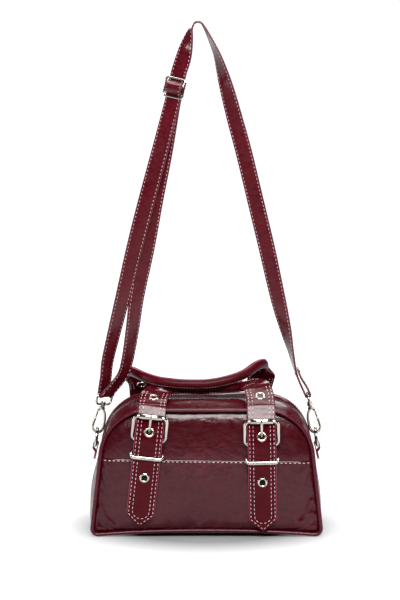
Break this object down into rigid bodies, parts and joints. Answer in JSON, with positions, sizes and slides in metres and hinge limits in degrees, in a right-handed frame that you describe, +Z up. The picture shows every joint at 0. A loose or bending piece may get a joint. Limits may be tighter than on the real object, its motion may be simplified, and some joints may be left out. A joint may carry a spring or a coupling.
{
  "type": "handbag",
  "caption": "Small structured leather handbag with zip top, belt-and-buckle straps, two rolled handles and a clip-on adjustable shoulder strap.",
  "frame": {"origin": "on the floor under the middle of the flat base", "axes": "+X to the right seen from the front, +Y towards the back, +Z up; the front of the bag faces -Y"},
  "size_m": [0.2516, 0.1424, 0.5415],
  "materials": {
    "glossy_leather": "glossy",
    "edge_leather": "satin",
    "nickel": "polished",
    "zip_teeth": "satin",
    "zip_tape": "woven",
    "lining_fabric": "woven",
    "fibre_board": "matte"
  },
  "bodies": {
    "bag": {"base_board": "fibre_board", "base_panel": "glossy_leather", "front_left_belt": "glossy_leather", "front_left_buckle_frame": "nickel", "front_left_buckle_tab": "glossy_leather", "front_left_keeper": "nickel", "front_lower_panel": "glossy_leather", "front_piping": "edge_leather", "front_right_belt": "glossy_leather", "front_right_buckle_frame": "nickel", "front_right_buckle_tab": "glossy_leather", "front_right_keeper": "nickel", "front_upper_panel": "glossy_leather", "left_gusset": "glossy_leather", "left_ring_tab": "glossy_leather", "lining": "lining_fabric", "rear_left_belt": "glossy_leather", "rear_left_buckle_frame": "nickel", "rear_left_buckle_tab": "glossy_leather", "rear_left_keeper": "nickel", "rear_lower_panel": "glossy_leather", "rear_piping": "edge_leather", "rear_right_belt": "glossy_leather", "rear_right_buckle_frame": "nickel", "rear_right_buckle_tab": "glossy_leather", "rear_right_keeper": "nickel", "rear_upper_panel": "glossy_leather", "right_gusset": "glossy_leather", "right_ring_tab": "glossy_leather", "top_gusset_front": "glossy_leather", "top_gusset_rear": "glossy_leather", "zipper_tape_front": "zip_tape", "zipper_tape_rear": "zip_tape", "zipper_teeth_front": "zip_teeth", "zipper_teeth_rear": "zip_teeth"},
    "front_handle": {"front_handle": "glossy_leather"},
    "front_left_prong": {"front_left_prong": "nickel"},
    "front_left_roller": {"front_left_roller": "nickel"},
    "front_right_prong": {"front_right_prong": "nickel"},
    "front_right_roller": {"front_right_roller": "nickel"},
    "left_hook": {"left_hook": "nickel"},
    "left_hook_gate": {"left_hook_gate": "nickel"},
    "left_ring": {"left_ring": "nickel"},
    "rear_handle": {"rear_handle": "glossy_leather"},
    "rear_left_prong": {"rear_left_prong": "nickel"},
    "rear_left_roller": {"rear_left_roller": "nickel"},
    "rear_right_prong": {"rear_right_prong": "nickel"},
    "rear_right_roller": {"rear_right_roller": "nickel"},
    "right_hook": {"right_hook": "nickel"},
    "right_hook_gate": {"right_hook_gate": "nickel"},
    "right_ring": {"right_ring": "nickel"},
    "zipper_pull": {"zipper_pull": "nickel"},
    "zipper_slider": {"zipper_slider": "nickel"},
    "strap": {"shoulder_strap": "glossy_leather", "strap_slider": "nickel", "left_swivel_eye": "nickel", "right_swivel_eye": "nickel"}
  },
  "joints": [
    {"name": "zipper_slide", "type": "slide", "parent": "bag", "child": "zipper_slider", "axis": [1, 0, 0], "range_m": [0, 0.112]},
    {"name": "zipper_pull_hinge", "type": "hinge", "parent": "zipper_slider", "child": "zipper_pull", "pos_m": [-0.0576, 0, 0.14145], "axis": [0, 1, 0], "range_deg": [0, 55]},
    {"name": "rear_handle_swing", "type": "hinge", "parent": "bag", "child": "rear_handle", "pos_m": [0, 0.0515, 0.1426], "axis": [-1, 0, 0], "range_deg": [0, 75]},
    {"name": "front_handle_swing", "type": "hinge", "parent": "bag", "child": "front_handle", "pos_m": [0, -0.0515, 0.1426], "axis": [1, 0, 0], "range_deg": [0, 75]},
    {"name": "front_left_prong_lift", "type": "hinge", "parent": "bag", "child": "front_left_prong", "pos_m": [-0.06117, -0.0617, 0.10423], "axis": [0.9942, 0, -0.108], "range_deg": [0, 5]},
    {"name": "front_left_roller_spin", "type": "hinge", "parent": "bag", "child": "front_left_roller", "pos_m": [-0.05836, -0.066, 0.13007], "axis": [0.9942, 0, -0.108], "continuous": true},
    {"name": "front_right_prong_lift", "type": "hinge", "parent": "bag", "child": "front_right_prong", "pos_m": [0.0579, -0.0617, 0.09951], "axis": [0.9998, 0, 0.0209], "range_deg": [0, 5]},
    {"name": "front_right_roller_spin", "type": "hinge", "parent": "bag", "child": "front_right_roller", "pos_m": [0.05736, -0.066, 0.1255], "axis": [0.9998, 0, 0.0209], "continuous": true},
    {"name": "rear_left_prong_lift", "type": "hinge", "parent": "bag", "child": "rear_left_prong", "pos_m": [-0.06879, 0.0617, 0.10402], "axis": [-0.9995, 0, -0.0314], "range_deg": [0, 5]},
    {"name": "rear_left_roller_spin", "type": "hinge", "parent": "bag", "child": "rear_left_roller", "pos_m": [-0.0696, 0.066, 0.13001], "axis": [-0.9995, 0, -0.0314], "continuous": true},
    {"name": "rear_right_prong_lift", "type": "hinge", "parent": "bag", "child": "rear_right_prong", "pos_m": [0.05761, 0.0617, 0.10401], "axis": [-0.9999, 0, -0.0157], "range_deg": [0, 5]},
    {"name": "rear_right_roller_spin", "type": "hinge", "parent": "bag", "child": "rear_right_roller", "pos_m": [0.0572, 0.066, 0.13], "axis": [-0.9999, 0, -0.0157], "continuous": true},
    {"name": "left_ring_swing", "type": "hinge", "parent": "bag", "child": "left_ring", "pos_m": [-0.1192, 0, 0.09], "axis": [0, 1, 0], "range_deg": [-4, 4]},
    {"name": "right_ring_swing", "type": "hinge", "parent": "bag", "child": "right_ring", "pos_m": [0.119, 0, 0.09], "axis": [0, 1, 0], "range_deg": [-4, 4]},
    {"name": "strap_swing", "type": "hinge", "parent": "bag", "child": "strap", "pos_m": [0, 0, 0.09696], "axis": [1, 0, 0], "range_deg": [0, 35]},
    {"name": "left_hook_swivel", "type": "hinge", "parent": "strap", "child": "left_hook", "pos_m": [-0.11229, 0, 0.12943], "axis": [0.225, 0, 0.9744], "range_deg": [-25, 25]},
    {"name": "left_gate_hinge", "type": "hinge", "parent": "left_hook", "child": "left_hook_gate", "pos_m": [-0.11692, 0, 0.12536], "axis": [0, -1, 0], "range_deg": [0, 20], "stiffness_Nm_per_rad": 0.002},
    {"name": "right_hook_swivel", "type": "hinge", "parent": "strap", "child": "right_hook", "pos_m": [0.11209, 0, 0.12943], "axis": [-0.225, 0, 0.9744], "range_deg": [-25, 25]},
    {"name": "right_gate_hinge", "type": "hinge", "parent": "right_hook", "child": "right_hook_gate", "pos_m": [0.11672, 0, 0.12536], "axis": [0, 1, 0], "range_deg": [0, 20], "stiffness_Nm_per_rad": 0.002}
  ],
  "couplings": [
    {"joint": "front_handle_swing", "follows": "rear_handle_swing", "ratio": 1}
  ]
}
